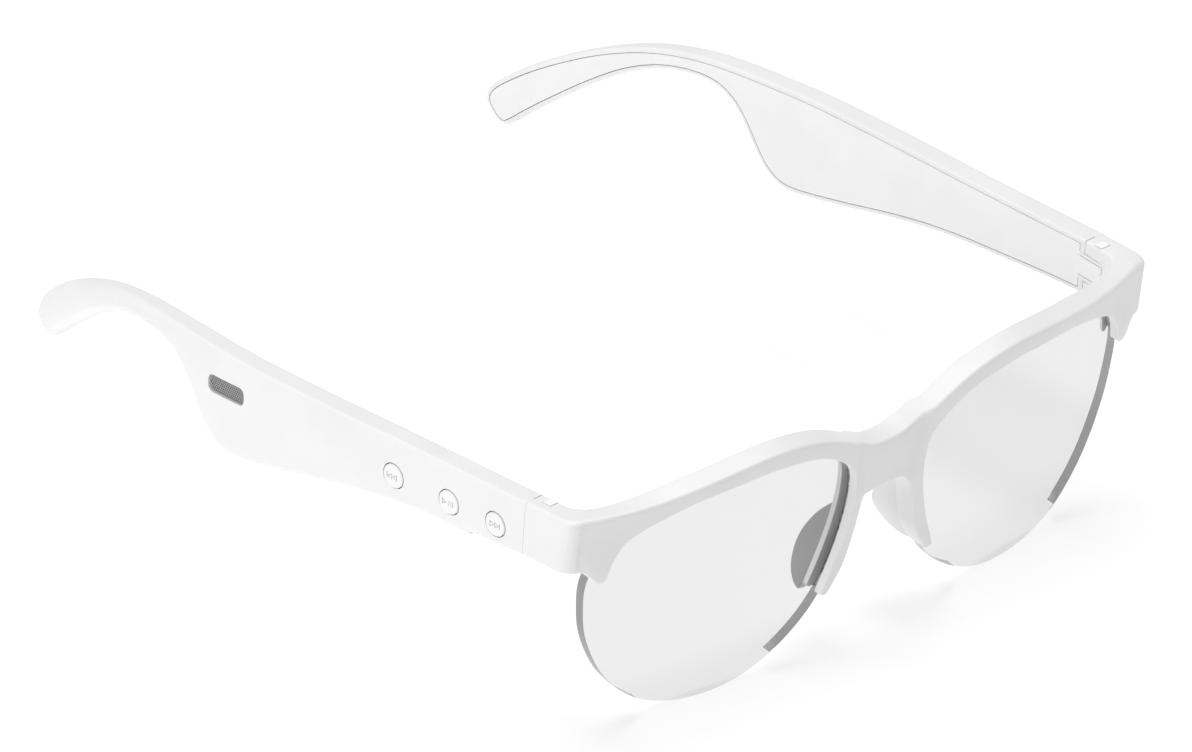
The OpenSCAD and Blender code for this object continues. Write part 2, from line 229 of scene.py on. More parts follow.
def plane_cut(bm, co, no):
    """Takes off everything on the side that no points to, and closes the cut."""
    geom = bm.verts[:] + bm.edges[:] + bm.faces[:]
    bmesh.ops.bisect_plane(bm, geom=geom, dist=1e-5, plane_co=co, plane_no=no, clear_outer=True)
    bmesh.ops.holes_fill(bm, edges=[e for e in bm.edges if e.is_boundary], sides=0)
    turn_out(bm)


def solid(bm, name, mirror=False):
    """A mesh object from a bmesh in design millimetres."""
    if mirror:
        for v in bm.verts:
            v.co.x = -v.co.x
        bmesh.ops.reverse_faces(bm, faces=bm.faces[:])
    for v in bm.verts:
        v.co = placed(v.co)
    mesh = bpy.data.meshes.new(name)
    bm.to_mesh(mesh)
    obj = bpy.data.objects.new(name, mesh)
    bpy.context.scene.collection.objects.link(obj)
    return obj


def boolean(obj, cutter, operation="DIFFERENCE"):
    mod = obj.modifiers.new("cut", "BOOLEAN")
    mod.operation = operation
    mod.solver = "MANIFOLD"
    mod.object = cutter
    bpy.context.view_layer.update()
    done = bpy.data.meshes.new_from_object(obj.evaluated_get(bpy.context.evaluated_depsgraph_get()))
    obj.modifiers.clear()
    obj.data = done
    bpy.data.objects.remove(cutter)


def at_hinge(x, y, z):
    """From the hinge's own axes, with +Z up the leaning pin, to the design axes."""
    turned = (x, y * math.cos(LEAN) - z * math.sin(LEAN), y * math.sin(LEAN) + z * math.cos(LEAN))
    return HINGE + Vector(turned)


def unmoved(x, y, z):
    """A placing that leaves a point where it is."""
    return Vector((x, y, z))


def block(lo, hi, place=unmoved):
    bm = bmesh.new()
    bmesh.ops.create_cube(bm, size=1)
    for v in bm.verts:
        corner = Vector([a + (b - a) * (c + 0.5) for a, b, c in zip(lo, hi, v.co)])
        v.co = place(*corner)
    turn_out(bm)
    return bm


def rod(radius, z0, z1, place, sides=48):
    bm = bmesh.new()
    bmesh.ops.create_cone(bm, cap_ends=True, segments=sides, radius1=radius, radius2=radius, depth=z1 - z0)
    for v in bm.verts:
        v.co = place(v.co.x, v.co.y, v.co.z + (z0 + z1) / 2)
    turn_out(bm)
    return bm


def finished(obj, *materials, angle=32):
    """Smooth shading with sharp edges kept, and the materials."""
    mesh = obj.data
    which = [face.material_index for face in mesh.polygons]
    mesh.materials.clear()
    for m in materials:
        mesh.materials.append(m)
    mesh.polygons.foreach_set("material_index", which)
    mesh.polygons.foreach_set("use_smooth", [True] * len(mesh.polygons))
    mesh.set_sharp_from_angle(angle=math.radians(angle))
    mod = obj.modifiers.new("even_shading", "WEIGHTED_NORMAL")
    mod.keep_sharp = True
    mod.weight = 80
    return obj


# Where the front and the temples run -------------------------------------------

THICK = 5.0
CORNER_X = 70.4
CORNER_R = 3.0
STEP_SPREAD = 0.2
LUG_LEAD = 0.6
FACE_LEAD = -9.9
FACE_BOW = 0.003
FACE_MIDDLE = 14
BEND_START = 70.6
INNER_START = 62


def face_depth(x):
    return FACE_LEAD + FACE_BOW * (x - FACE_MIDDLE) ** 2


def outer_path():
    """Plan of the front face as (s, x, v): s is x until the corner, then the length round it and back."""
    knots = [(0, -8.7), (4.2, -8.78), (5.6, -8.95), (6.5, -9.5), (7.4, -9.82), (9, -9.87)]
    bridge = curve(knots + [(12, face_depth(12))], before=(-4, -8.78), after=(20, -9.8))
    line = [(p.x, p.x, p.y) for p in bridge[:-1]]
    line += [(x, x, face_depth(x)) for x in spread(12, BEND_START, 1)]
    middle = face_depth(CORNER_X) + CORNER_R
    angles = [math.radians(d) for d in range(-70, 1, 7)]
    turn = [Vector((CORNER_X + CORNER_R * math.cos(a), middle + CORNER_R * math.sin(a))) for a in angles]
    turn += [Vector((73.44, 5)), Vector((73.5, 11)), Vector((73.55, 16))]
    s, here = BEND_START, Vector((BEND_START, face_depth(BEND_START)))
    for p in turn:
        s += (p - here).length
        here = p
        line.append((s, p.x, p.y))
    return line


PATH = outer_path()
outer_x_of = table([(p[0], p[1]) for p in PATH])
outer_v_of = table([(p[0], p[2]) for p in PATH])
END_S = 86.4
INNER_KNOTS = [
    (INNER_START, INNER_START, face_depth(INNER_START) + THICK), (65.5, 65.1, 3.0), (68.5, 66.9, 3.9),
    (71.2, 67.9, 4.9), (73.2, 68.4, 5.9), (75, 68.6, 6.9), (78.5, 68.75, 9.0), (83, 68.85, 11.3),
    (END_S, 68.95, 13.9),
]
inner_x_of = table([(0, 0)] + [(k[0], k[1]) for k in INNER_KNOTS])
inner_v_of = table([(k[0], k[2]) for k in INNER_KNOTS])


def front_wrap(s, d, w):
    """Bends the flat front: round the corners, back along the end pieces, and out of the lenses' lean.
    The step from the bridge to the rims spreads towards the top."""
    a = abs(s)
    step = a - STEP_SPREAD * max(w + 5, 0) * (1 - ramp(10, 16, a))
    xo, vo = outer_x_of(a), outer_v_of(max(step, 0) if a < 16 else a)
    if a < INNER_START:
        xi, vi = a, vo + THICK
    else:
        xi, vi = inner_x_of(a), inner_v_of(a)
    f = d / THICK
    x, v = xo + (xi - xo) * f, vo + (vi - vo) * f
    lug = ramp(52, 64, a) * (1 - ramp(67, 74, a)) * ramp(7, -3, w)
    v -= LUG_LEAD * lug
    tilt = TILT * (1 - ramp(74, 84, a))
    level = max(ramp(48, 66, a) * ramp(2, 9, w), ramp(69, 74, a))
    y = v * math.cos(tilt) - w * math.sin(tilt)
    z = min(vo, 0) * math.sin(tilt) + w * math.cos(tilt) + (v - vo) * math.sin(tilt) * (1 - level)
    return Vector((math.copysign(x, s) if a > 1e-9 else 0, y, z))


def lens_plane(x, v, w):
    """From the leaning plane of the lenses to the design axes."""
    return Vector((x, v * math.cos(TILT) - w * math.sin(TILT), v * math.sin(TILT) + w * math.cos(TILT)))


BROW_TOP = [
    (0, 5.4), (4, 5.9), (7, 7.4), (10, 9.1), (15, 11.7), (20, 13.5), (26, 14.5), (32, 14.6), (39, 13.8),
    (48, 12.4), (56, 11.3), (62, 10.85), (68, 10.7), (73, 10.65), (79, 10.65), (END_S, 10.65),
]
BROW_END = [
    (END_S, -0.6), (79, -0.66), (74.5, -0.82), (71.6, -0.95), (69.9, -1.2), (68.7, -2.2), (67.7, -3.4),
    (66.7, -4.05), (65.6, -3.9), (65.0, -3.0),
]
BROW_UNDER = [
    (65.0, -3.0), (64.1, 0.2), (61.5, 4), (55.3, 7), (47.3, 9.2), (38.6, 10.3), (29.6, 10.8), (20.3, 9.7),
    (13.9, 6.6), (9.8, 2.4), (9.0, -2.4), (9.3, -7), (10.4, -12.5), (12.3, -18.5), (14.1, -23),
]
RIM_NOSE = [
    (14.1, -23), (13.9, -23.9), (13, -24.2), (12.1, -23.7), (9.3, -19), (8.1, -15), (7.2, -11),
    (6.5, -7.8), (5.4, -5.9), (4, -5.3), (0, -5.2),
]
SPACING = 0.65
brow_radius = table([(50, 0.7), (64, 0.9), (71, 1.4), (74, 1.2), (79, 0.8)])


def section(points, front_r, back_r, before=None, after=None, spacing=SPACING):
    return [(p.x, p.y, front_r, back_r) for p in resample(curve(points, 8, before, after), spacing)]


def front_outline():
    half = [(s, w, brow_radius(s), 0.6) for s, w, _, _ in section(BROW_TOP, 0, 0, before=(-4, 5.9))]
    half += section(BROW_END, 0.5, 0.5, after=BROW_UNDER[1])
    half += section(BROW_UNDER, 0.32, 0.32, before=BROW_END[-2], after=RIM_NOSE[1])[1:]
    half += section(RIM_NOSE, 0.55, 0.6, before=BROW_UNDER[-2], after=(-4, -5.3))[1:]
    return half + [(-s, w, rf, rb) for s, w, rf, rb in half[-2:0:-1]]


LENS_EDGE = [
    (65.4, -1.2), (67, -4), (67.3, -9), (65.7, -18), (61, -27.4), (54, -34.1), (46.5, -37.1), (38, -37.9),
    (30.3, -36.8), (23.4, -33.9), (17, -29.3), (12.6, -24.1), (9.6, -18), (7.8, -11), (7.2, -4),
    (8.6, 2.4), (12.4, 7.4), (19, 11), (29.6, 12.2), (39, 11.7), (48, 10.5), (56.5, 8.3), (62.2, 4.9),
    (65.4, -1.2),
]
LENS_FRONT = 1.7
LENS_T = 2.0


def lens_outline(radius):
    return section(LENS_EDGE, radius, radius, before=LENS_EDGE[-2], after=LENS_EDGE[1])[:-1]


def lens_wrap(room):
    def wrap(x, d, w):
        return lens_plane(x, face_depth(x) + LENS_FRONT - room + d, w)

    return wrap


# Temples: side view in y and z, and the outer and inner faces in plan
TEMPLE_START = 9.6
TEMPLE_TOP = [
    (TEMPLE_START, END_TOP), (30, END_TOP), (50, END_TOP), (70, END_TOP), (88, END_TOP), (101, 10.6),
    (112, 10.1), (122, 8.4), (131, 5.4), (139, 1.6), (146, -2.5), (151.2, -6.3), (153.5, -8.7),
    (154.1, -10.9), (153.3, -13), (151.9, -14.9), (150.2, -15.6), (148.3, -14.4),
]
TEMPLE_UNDER = [
    (148.3, -14.4), (145.4, -11.9), (140, -7.6), (133, -2.4), (126, 2), (119, 4.8), (112, 5.9),
    (106.5, 5.4), (102.5, 2.9), (99.5, -1.2), (97, -5.4), (94.2, -8.6), (90.5, -10.2), (85, -10),
    (75, -8.2), (64, -5.8), (54, -3.9), (44, -2.6), (33, -1.8), (22, -1.1), (TEMPLE_START, -0.6),
]
outer_x = table([
    (TEMPLE_START, 73.5), (27, 74), (43, 74.4), (56, 74.9), (70, 75.2), (84, 75.1), (96, 74),
    (108, 72.4), (120, 70), (133, 66.5), (146, 62.3), (156, 59.1),
])
inner_x = table([
    (TEMPLE_START, 68.9), (27, 69.1), (43, 69.3), (56, 69.6), (70, 69.8), (84, 69.7), (96, 68.8),
    (108, 67.4), (120, 65.1), (133, 61.5), (146, 57.2), (156, 54),
])
top_z = table(TEMPLE_TOP[:13])
under_z = table(sorted(TEMPLE_UNDER) + [(155, -16)])
crown = table([(14, 0), (32, 0.4), (60, 0.75), (90, 1.0), (105, 0.85), (120, 0.9), (156, 1.0)])
top_radius = table([(10, 0.7), (95, 0.8), (112, 1.3), (128, 2.1)])
under_radius = table([(10, 0.5), (30, 0.8), (85, 1.5), (110, 1.5), (128, 1.9)])
back_radius = table([(10, 0.5), (95, 0.6), (135, 1.1)])


def temple_outline():
    top = section(TEMPLE_TOP, 0, 0, after=TEMPLE_UNDER[1], spacing=0.8)
    under = section(TEMPLE_UNDER, 0, 0, before=TEMPLE_TOP[-2], spacing=0.8)[1:]
    whole = [(y, z, top_radius(y), back_radius(y)) for y, z, _, _ in top]
    return whole + [(y, z, under_radius(y), back_radius(y)) for y, z, _, _ in under]


def crowned_x(y, z):
    """The temple's outer face, which falls back towards its upper and lower edges."""
    middle, half = (top_z(y) + under_z(y)) / 2, (top_z(y) - under_z(y)) / 2
    off = min(abs(z - middle) / half, 1.1)
    return outer_x(y) - crown(y) * off**2


def temple_wrap(y, d, z):
    f = d / THICK
    xo = crowned_x(y, z)
    return Vector((xo + (inner_x(y) - xo) * f, y, z))


def outward(y):
    """Unit vector out of a temple's outer face, in plan."""
    slope = (outer_x(y + 3) - outer_x(y - 3)) / 6
    return Vector((1, -slope, 0)).normalized()


def outer_station(y, z, lean=0):
    """A placing: x out of the outer face, y back along the temple, z up, turned about x by lean."""
    out = outward(y)
    along = Vector((-out.y, out.x, 0))
    up = Vector((0, 0, 1))
    c, s = math.cos(lean), math.sin(lean)

    def place(px, py, pz):
        return Vector((outer_x(y), y, z)) + out * px + along * (py * c - pz * s) + up * (py * s + pz * c)

    return place


# Materials ----------------------------------------------------------------------


def material(name, base, rough, metallic=0.0, grain=0.0, grain_scale=4000, tone=0.03, coat=0.0, alpha=1.0):
    """A moulded, cast or plated surface: its tone and roughness drift a little, and it has a fine grain."""
    m = bpy.data.materials.new(name)
    m.use_nodes = True
    nodes, links = m.node_tree.nodes, m.node_tree.links
    shader = nodes["Principled BSDF"]
    shader.inputs["Metallic"].default_value = metallic
    shader.inputs["IOR"].default_value = 1.5
    shader.inputs["Coat Weight"].default_value = coat
    shader.inputs["Coat Roughness"].default_value = 0.12
    shader.inputs["Alpha"].default_value = alpha
    coords = nodes.new("ShaderNodeTexCoord")
    drift = nodes.new("ShaderNodeTexNoise")
    drift.inputs["Scale"].default_value = 90
    drift.inputs["Detail"].default_value = 3
    links.new(coords.outputs["Object"], drift.inputs["Vector"])
    colour = nodes.new("ShaderNodeValToRGB")
    colour.color_ramp.elements[0].position = 0.35
    colour.color_ramp.elements[1].position = 0.65
    colour.color_ramp.elements[0].color = [c * (1 - tone) for c in base] + [1]
    colour.color_ramp.elements[1].color = list(base) + [1]
    links.new(drift.outputs["Fac"], colour.inputs["Fac"])
    links.new(colour.outputs["Color"], shader.inputs["Base Color"])
    fine = nodes.new("ShaderNodeTexNoise")
    fine.inputs["Scale"].default_value = grain_scale
    fine.inputs["Detail"].default_value = 2
    links.new(coords.outputs["Object"], fine.inputs["Vector"])
    gloss = nodes.new("ShaderNodeMapRange")
    gloss.inputs["To Min"].default_value = rough * 0.9
    gloss.inputs["To Max"].default_value = rough * 1.1
    links.new(fine.outputs["Fac"], gloss.inputs["Value"])
    links.new(gloss.outputs["Result"], shader.inputs["Roughness"])
    if grain:
        bump = nodes.new("ShaderNodeBump")
        bump.inputs["Strength"].default_value = grain
        bump.inputs["Distance"].default_value = 0.00002
        links.new(fine.outputs["Fac"], bump.inputs["Height"])
        links.new(bump.outputs["Normal"], shader.inputs["Normal"])
    return m


WHITE = (0.86, 0.86, 0.86)
mat_front = material("satin_white_front", WHITE, 0.42, grain=0.25)
mat_temple = material("satin_white_temple", WHITE, 0.42, grain=0.25)
mat_cover = material("satin_white_cover", (0.91, 0.91, 0.91), 0.46, grain=0.3)
mat_button = material("satin_white_button", (0.9, 0.9, 0.9), 0.4, grain=0.2)
mat_icon = material("icon_ink", (0.28, 0.28, 0.28), 0.5)
mat_cap = material("gloss_white_cap", (0.97, 0.97, 0.97), 0.3, tone=0.005)
mat_pad = material("pad_silicone", (0.8, 0.8, 0.8), 0.5, grain=0.3, grain_scale=2500)
# Painted shade: a grey for the nose pads' faces turned to the lens, where shade falls between pad and lens.
mat_pad_painted_shade = material("pad_painted_shade", (0.36, 0.36, 0.365), 0.5, grain=0.2)
mat_grille = material("grille_grey", (0.32, 0.32, 0.325), 0.45, metallic=0.2, grain=0.3)
mat_lens = material("lens_clear", (0.2, 0.2, 0.205), 0.05, alpha=0.145, tone=0.02)
mat_lens.node_tree.nodes["Principled BSDF"].inputs["Specular IOR Level"].default_value = 0.15
# Painted reflection: a dark, more opaque edge standing in for the dark internal reflection in a lens's
# ground edge.
mat_lens_edge = material("lens_edge", (0.05, 0.05, 0.05), 0.12, alpha=0.72)
mat_steel = material("pin_steel", (0.62, 0.62, 0.64), 0.28, metallic=1, grain=0.3)
mat_brass = material("bush_brass", (0.72, 0.55, 0.28), 0.32, metallic=1, grain=0.3)
mat_foil = material("battery_foil", (0.66, 0.67, 0.69), 0.4, metallic=0.8, grain=0.5, grain_scale=900)
mat_board = material("board_green", (0.03, 0.22, 0.1), 0.4, coat=0.5, tone=0.2)
mat_module = material("module_shield", (0.7, 0.7, 0.71), 0.33, metallic=1, grain=0.3)
mat_basket = material("speaker_basket", (0.05, 0.05, 0.055), 0.5, grain=0.4)
mat_magnet = material("magnet_steel", (0.55, 0.55, 0.57), 0.35, metallic=1, grain=0.3)
mat_cone = material("cone_film", (0.03, 0.03, 0.035), 0.35, coat=0.3, tone=0.2)
mat_plate = material("plate_white", (0.82, 0.82, 0.82), 0.35, grain=0.2)
mat_gold = material("contact_gold", (0.85, 0.62, 0.25), 0.25, metallic=1, grain=0.2)
mat_switch = material("switch_black", (0.03, 0.03, 0.03), 0.45, grain=0.3)

# Front ------------------------------------------------------------------------------

END_REACH = 11.05
SEAM_Y = END_REACH - HINGE.y
SEAM_GAP = 0.2
OUTER_GAP = 0.025
LENS_CUTS = spread(6, 68, 1.2)
LENS_EDGE_R = 0.18
LENS_SEAT_EDGE_R = 0.02
EDGE_LEAN_MAX = 0.8
EDGE_SIDE_MIN = 0.5


def seam(gap):
    return at_hinge(0, SEAM_Y + gap, 0), Vector((0, math.cos(LEAN), math.sin(LEAN)))


def mirror_x(place):
    def mirrored(x, y, z):
        p = place(x, y, z)
        return Vector((-p.x, p.y, p.z))

    return mirrored


TONGUE_H = 5.75
POCKET_H = TONGUE_H + 0.3
TONGUE_IN = -1.3
TONGUE_R = 2.1
TONGUE_BACK = 4.4
POCKET_R = 2.3
POCKET_BACK = 8
BUSH_R = 1.25
BUSH_REACH = 8
CAP_SEAT_HALF = 1.1
CAP_SEAT_DEPTH = 0.62
TAB_LOW, TAB_HIGH = -1.9, 2.0
TAB_T = 0.5
TAB_GAP = 0.15
PIN_CAP_Y = HINGE.y - (END_TOP - HINGE.z) * math.tan(LEAN)


def front_frame():
    cuts = spread(0, END_S, 1.0)
    bm = slab(front_outline(), THICK, front_wrap, [-c for c in cuts[:0:-1]] + cuts, spread(-4, 12, 2))
    plane_cut(bm, *seam(0))
    obj = solid(bm, "front_frame_moulding")
    for side in (1, -1):
        place = at_hinge if side > 0 else mirror_x(at_hinge)
        lens = slab(lens_outline(LENS_SEAT_EDGE_R), LENS_T + 0.1, lens_wrap(0.05), LENS_CUTS, arc=1)
        boolean(obj, solid(lens, "lens_room", side < 0))
        half = POCKET_H / 2
        boolean(obj, solid(block((-8, -1.5, -half), (0, POCKET_BACK, half), place), "pocket_inner"))
        boolean(obj, solid(block((-5.7, 0, -half), (POCKET_R, POCKET_BACK, half), place), "pocket_back"))
        boolean(obj, solid(rod(POCKET_R, -half, half, place), "pocket_round"))
        x, y, r = HINGE.x * side, PIN_CAP_Y, CAP_SEAT_HALF
        boolean(obj, solid(block((x - r, y - r, END_TOP - CAP_SEAT_DEPTH), (x + r, y + r, END_TOP + 3)),
            "cap_seat"))
    finished(obj, mat_front)
    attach(obj, "front")
    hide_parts("front_frame")


def mark_edge_reflection(bm):
    """Marks the ground edge of a lens at the temple and beside the nose, alike on both lenses, for a painted
    dark reflection.
    """
    bm.normal_update()
    axis = lens_plane(0, 1, 0)
    for face in bm.faces:
        depth = face.normal.dot(axis)
        flat = face.normal - axis * depth
        on_side = abs(face.normal.x) >= EDGE_SIDE_MIN * flat.length
        face.material_index = int(abs(depth) <= EDGE_LEAN_MAX and on_side)


def lens_plate(side):
    bm = slab(lens_outline(LENS_EDGE_R), LENS_T, lens_wrap(0), LENS_CUTS, arc=2)
    # The marked edge faces get the painted dark reflection.
    mark_edge_reflection(bm)
    obj = solid(bm, "lens_plate_" + side, side == "right")
    finished(obj, mat_lens, mat_lens_edge, angle=30)
    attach(obj, "front")
    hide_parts("lens_" + side)


front_frame()
for side in ("left", "right"):
    lens_plate(side)

# Nose pads ------------------------------------------------------------------------------

pad_x = table([(-26, 14.3), (-23.5, 13.3), (-20, 11.5), (-17, 10), (-12.5, 8.3), (-9, 7.4), (-6, 7.0)])
pad_radius = table([(-25.4, 0.4), (-23.5, 0.85), (-13, 0.85), (-9.5, 0.35)])
PAD_T = 1.8
PAD_RIM_R = 0.3
PAD_SHADE_NORMAL_X = 0.6
PAD_EDGE = [
    (-8.2, -0.5), (-9.2, 0.6), (-11, 2.6), (-13.3, 4.6), (-16.9, 6.2), (-20.2, 6.0), (-23.2, 4.4),
    (-25, 1.9), (-25.4, -0.2), (-24.8, -0.8), (-22, -0.7), (-16, -0.7), (-10, -0.7), (-8.2, -0.5),
]


def pad_wrap(z, d, w):
    """The pad is a wing that stands back from the rim, a little towards the nose."""
    t = d - PAD_T / 2
    dish = 0.05 * w * (6 - w)
    return Vector((pad_x(z) - 0.2 * w + t * 0.98 - dish * 0.3, -4.53 - 0.1736 * z + 0.98 * w + 0.2 * t, z))


def nose_pad(side):
    """A pad, with painted shade in grey on the face that is turned to the lens."""
    outline = []
    for z, w, _, _ in section(PAD_EDGE, 0, 0, before=PAD_EDGE[-2], after=PAD_EDGE[1], spacing=0.45)[:-1]:
        radius = pad_radius(z) if w > 0 else PAD_RIM_R
        outline.append((z, w, radius, radius))
    bm = slab(outline, PAD_T, pad_wrap, spread(-25, -9, 0.8), spread(0, 6, 0.8), arc=5)
    bm.normal_update()
    # Faces turned to the lens get the grey of painted shade.
    for face in bm.faces:
        face.material_index = int(face.normal.x > PAD_SHADE_NORMAL_X)
    obj = solid(bm, "nose_pad_wing_" + side, side == "right")
    finished(obj, mat_pad, mat_pad_painted_shade, angle=60)
    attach(obj, "front")
    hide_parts("nose_pad_" + side)


for side in ("left", "right"):
    nose_pad(side)

# Temples --------------------------------------------------------------------------------

COVER_MARGIN = 0.9
COVER_T = 1.0
COVER_FRONT = 1.2
PARTING = 0.13
WALL = 1.1
GRILLE_Y = 88.3
GRILLE_Z = 3.8
GRILLE_LEAN = math.radians(-3.5)
GRILLE_L = 10.2
GRILLE_H = 3.5
GRILLE_CORNER = 1.3
GRILLE_SEAT_DEPTH = 0.95
GRILLE_PLATE_DEPTH = 0.75
GRILLE_RIM = 0.6
BUTTON_GAP = 0.22
BUTTON_BORE_DEPTH = 2.05
HOLLOW_FRONT = 14.5
HOLLOW_BACK = 101
BUTTON_R = 2.42
BUTTON_SIDES = 72
BUTTON_Y = {"next": 18.3, "play_pause": 30.2, "previous": 44.4}
BUTTON_Z = 3.2
Y_CUTS = spread(11, 155, 1.5)
Z_CUTS = spread(-15, 10, 1.25)


def inset_outline(margin, front_r=0.0, back_r=0.0):
    """The temple's side outline moved in by a margin."""
    pts = [Vector(p[:2]) for p in temple_outline()]
    if clockwise(pts):
        pts.reverse()
    line = inset(pts, [margin] * len(pts))
    line = [p for i, p in enumerate(line) if (p - line[i - 1]).length > 0.3]
    return [(p.x, p.y, front_r, back_r) for p in line]


def from_inside(start):
    """Bends a plate to the temple's inner face. It starts at that depth under the face."""

    def wrap(y, d, z):
        return Vector((inner_x(y) + start + d, y, z))

    return wrap


def hollow_wrap(y, d, z):
    f = d / THICK
    lo = inner_x(y) + COVER_T - 0.1
    hi = crowned_x(y, z) - WALL
    return Vector((lo + (hi - lo) * f, y, z))


def rounded_bar(length, height, corner, steps=8):
    """Outline of a bar with rounded corners, as (along, up)."""
    out = []
    for sx, sz, start in ((1, 1, 0), (-1, 1, 90), (-1, -1, 180), (1, -1, 270)):
        for k in range(steps + 1):
            a = math.radians(start + 90 * k / steps)
            out.append((sx * (length / 2 - corner) + corner * math.cos(a),
                sz * (height / 2 - corner) + corner * math.sin(a)))
    return out


def prism(outline, lo, hi, place):
    """A straight plate between two heights over the outer face. place takes (out, along, up)."""
    bm = bmesh.new()
    a = [bm.verts.new(place(lo, *p)) for p in outline]
    b = [bm.verts.new(place(hi, *p)) for p in outline]
    for i in range(len(a)):
        j = (i + 1) % len(a)
        bm.faces.new((a[i], a[j], b[j], b[i]))
    bm.faces.new(a[::-1])
    bm.faces.new(b)
    turn_out(bm)
    return bm


def temple_shell(side):
    flip = side == "right"
    hinge = mirror_x(at_hinge) if flip else at_hinge

    def station(y, z, lean=0):
        place = outer_station(y, z, lean)
        return mirror_x(place) if flip else place

    bm = slab(temple_outline(), THICK, temple_wrap, Y_CUTS, Z_CUTS)
    co, no = seam(OUTER_GAP)
    plane_cut(bm, co, -no)
    obj = solid(bm, "temple_shell_moulding_" + side, flip)
    half = TONGUE_H / 2
    boolean(obj, solid(block((-6, SEAM_Y - 1, -9), (1.2, SEAM_Y + SEAM_GAP, 9), hinge), "inner_seam"))
    tongue = solid(block((TONGUE_IN, -0.2, -half), (TONGUE_R, TONGUE_BACK, half), hinge), "tongue_bar")
    boolean(tongue, solid(rod(TONGUE_R, -half, half, hinge, 64), "tongue_round"), "UNION")
    boolean(tongue, solid(block((TONGUE_IN - 3, -4, -4), (TONGUE_IN, 4, 4), hinge), "tongue_flat"))
    boolean(obj, tongue, "UNION")
    boolean(obj, solid(block((TONGUE_IN - 2, -3, TAB_LOW - TAB_GAP),
        (TONGUE_IN + TAB_T, 5, TAB_HIGH + TAB_GAP), hinge), "tab_seat"))
    recess = slab(inset_outline(COVER_MARGIN), COVER_T + 2, from_inside(-2), Y_CUTS, arc=1)
    co, no = seam(SEAM_GAP + COVER_FRONT)
    plane_cut(recess, co, -no)
    boolean(obj, solid(recess, "cover_recess", flip))
    hollow = slab(inset_outline(COVER_MARGIN + 0.5), THICK, hollow_wrap, Y_CUTS, arc=1)
    plane_cut(hollow, Vector((0, HOLLOW_FRONT, 0)), Vector((0, -1, 0)))
    plane_cut(hollow, Vector((0, HOLLOW_BACK, 0)), Vector((0, 1, 0)))
    boolean(obj, solid(hollow, "hollow", flip))
    boolean(obj, solid(block((-4, SEAM_Y - 0.1, half), (-1.9, SEAM_Y + 0.5, half + 6), hinge), "slot"))
    boolean(obj, solid(rod(BUSH_R, -BUSH_REACH, BUSH_REACH, hinge), "bush_bore"))
    grille = station(GRILLE_Y, GRILLE_Z, GRILLE_LEAN)
    seat = rounded_bar(GRILLE_L, GRILLE_H, GRILLE_CORNER)
    boolean(obj, solid(prism(seat, -GRILLE_SEAT_DEPTH, 2, grille), "grille_seat"))
    window = rounded_bar(GRILLE_L - 2 * GRILLE_RIM, GRILLE_H - 2 * GRILLE_RIM, 0.9)
    boolean(obj, solid(prism(window, -2.6, 0, grille), "grille_window"))
    lo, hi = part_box("charging_plate_" + side)
    room = 0.00002
    plate = bmesh.new()
    bmesh.ops.create_cube(plate, size=1)
    for v in plate.verts:
        corner = [(lo[i] - room if v.co[i] < 0 else hi[i] + room) / MM for i in range(3)]
        v.co = Vector(corner) + Vector((0, ORIGIN_Y, ORIGIN_Z))
        if v.co.z < -1.5:
            v.co.z -= 2
    boolean(obj, solid(plate, "plate_seat"))
    if flip:
        for y in BUTTON_Y.values():
            place = station(y, BUTTON_Z)
            bore = rod(BUTTON_R + BUTTON_GAP, -BUTTON_BORE_DEPTH, 3, lambda a, b, c: place(c, a, b),
                BUTTON_SIDES)
            boolean(obj, solid(bore, "button_bore"))
    finished(obj, mat_temple)
    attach(obj, "temple_" + side)
    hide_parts("temple_shell_" + side)


def temple_cover(side):
    bm = slab(inset_outline(COVER_MARGIN + PARTING, 0.12, 0.02), COVER_T - 0.02, from_inside(0),
        Y_CUTS, arc=2)
    co, no = seam(SEAM_GAP + COVER_FRONT + PARTING)
    plane_cut(bm, co, -no)
    obj = solid(bm, "temple_cover_panel_" + side, side == "right")
    hinge = mirror_x(at_hinge) if side == "right" else at_hinge
    tab = solid(block((TONGUE_IN, -1.5, TAB_LOW), (TONGUE_IN + TAB_T - 0.05, 4.9, TAB_HIGH), hinge), "tab")
    boolean(tab, solid(rod(BUSH_R + 0.01, -BUSH_REACH, BUSH_REACH, hinge), "bush_room"))
    boolean(obj, tab, "UNION")
    finished(obj, mat_cover)
    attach(obj, "temple_" + side)
    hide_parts("temple_cover_" + side)


